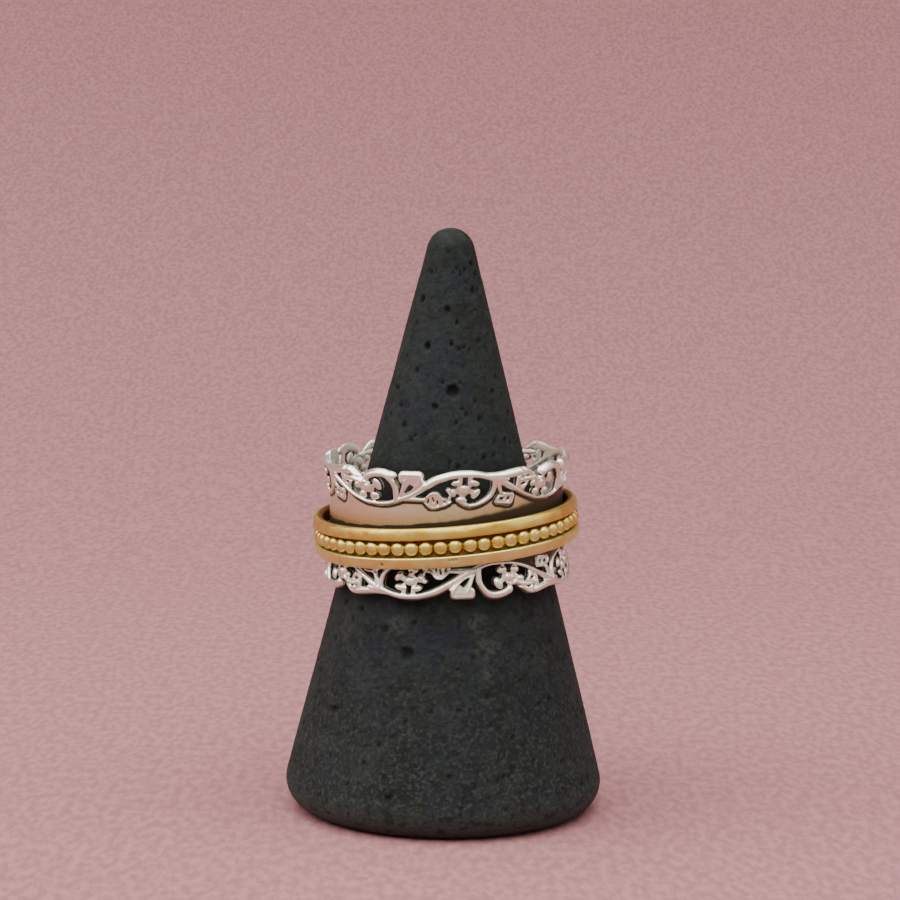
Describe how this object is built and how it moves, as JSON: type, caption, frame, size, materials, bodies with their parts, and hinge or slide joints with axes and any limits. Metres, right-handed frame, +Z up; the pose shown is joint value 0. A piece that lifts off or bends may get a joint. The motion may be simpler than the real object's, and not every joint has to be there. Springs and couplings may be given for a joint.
{
  "type": "spinner ring on a ring cone",
  "caption": "Pierced floral-scroll silver spinner ring with a loose beaded gold band that turns, shown on a plain charcoal stone ring cone.",
  "frame": {"origin": "centre of the cone's underside", "axes": "+Z up along the cone's axis, the shown front of the ring towards -Y, +X to the viewer's right"},
  "size_m": [0.0258, 0.0258, 0.0476],
  "materials": {
    "cone_stone": "matt, fine-grained, with open pores",
    "ring_silver": "polished, with brown-black oxidised recesses",
    "spinner_gold": "polished, lightly hand-worn, with dark grooves"
  },
  "bodies": {
    "root": {"display_cone": "cone_stone", "silver_band": "ring_silver"},
    "spinner": {"gold_spinner": "spinner_gold"}
  },
  "joints": [
    {"name": "spinner_spin", "type": "hinge", "parent": "root", "child": "spinner", "pos_m": [-0.00005, -0.00005, 0.0235], "axis": [-0.0889, -0.0295, 0.9956], "continuous": true}
  ]
}
